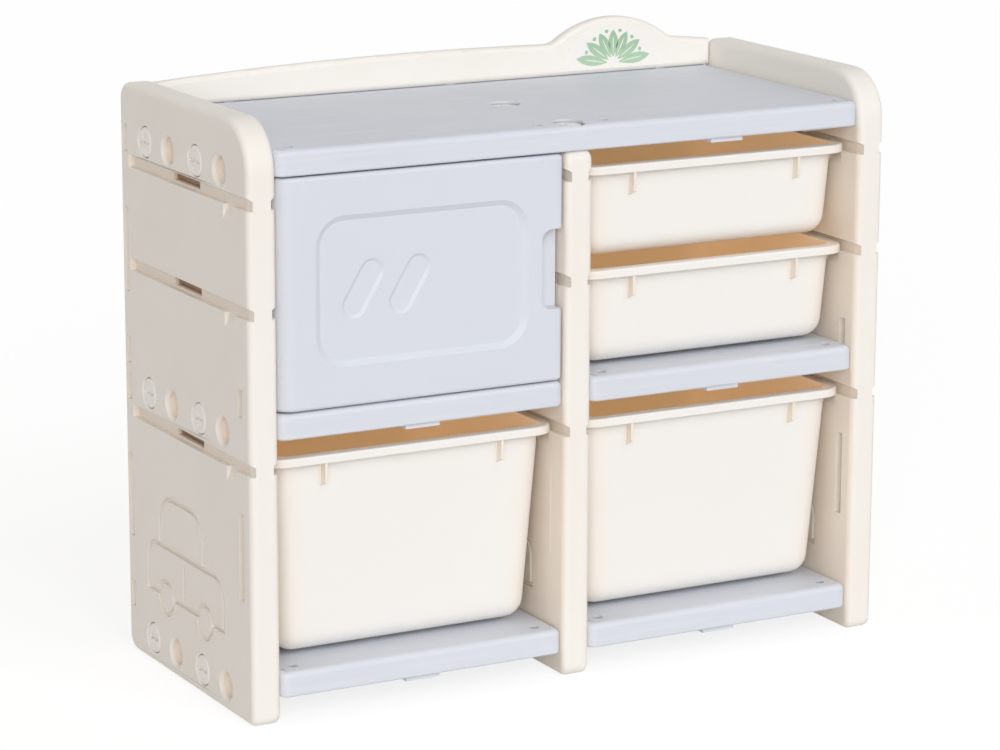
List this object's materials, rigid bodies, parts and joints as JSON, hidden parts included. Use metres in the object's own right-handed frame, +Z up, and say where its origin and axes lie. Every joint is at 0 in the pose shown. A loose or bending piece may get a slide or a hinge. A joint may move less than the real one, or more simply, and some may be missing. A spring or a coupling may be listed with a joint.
{
  "type": "toy shelf",
  "caption": "Low moulded-plastic toy shelf with a door cupboard, sliding open bins on moulded runners, a railed top board and large plastic cross-slot bolts.",
  "frame": {"origin": "centre of the footprint, at the bottom of the panels", "axes": "+X to the right when facing the door, along the width; +Y to the rear, along the depth; +Z up"},
  "size_m": [0.85, 0.36, 0.737],
  "materials": {
    "cream_panel": "satin",
    "cream_bin": "satin",
    "cream_bolt": "satin",
    "blue_grey": "satin",
    "white_plate": "gloss",
    "pin_plastic": "satin"
  },
  "bodies": {
    "carcass": {"left_side_panel": "cream_panel", "right_side_panel": "cream_panel", "centre_panel": "cream_panel", "top_board": "blue_grey", "left_bottom_shelf": "blue_grey", "right_bottom_shelf": "blue_grey", "left_middle_shelf": "blue_grey", "right_middle_shelf": "blue_grey", "back_rail": "cream_panel", "motif_plate": "white_plate", "left_panel_bolts": "cream_bolt", "right_panel_bolts": "cream_bolt", "centre_left_bolts": "cream_bolt", "centre_right_bolts": "cream_bolt", "top_board_bolts": "cream_bolt"},
    "cupboard_door": {"door": "blue_grey", "upper_hinge_pin": "pin_plastic", "lower_hinge_pin": "pin_plastic"},
    "left_deep_drawer": {"left_deep_bin": "cream_bin"},
    "right_deep_drawer": {"right_deep_bin": "cream_bin"},
    "lower_shallow_drawer": {"lower_shallow_bin": "cream_bin"},
    "upper_shallow_drawer": {"upper_shallow_bin": "cream_bin"}
  },
  "joints": [
    {"name": "door_hinge", "type": "hinge", "parent": "carcass", "child": "cupboard_door", "pos_m": [-0.366, -0.158, 0.5], "axis": [0, 0, -1], "range_deg": [0, 93]},
    {"name": "left_deep_slide", "type": "slide", "parent": "carcass", "child": "left_deep_drawer", "axis": [0, -1, 0], "range_m": [0, 0.24]},
    {"name": "right_deep_slide", "type": "slide", "parent": "carcass", "child": "right_deep_drawer", "axis": [0, -1, 0], "range_m": [0, 0.24]},
    {"name": "lower_shallow_slide", "type": "slide", "parent": "carcass", "child": "lower_shallow_drawer", "axis": [0, -1, 0], "range_m": [0, 0.24]},
    {"name": "upper_shallow_slide", "type": "slide", "parent": "carcass", "child": "upper_shallow_drawer", "axis": [0, -1, 0], "range_m": [0, 0.24]}
  ]
}
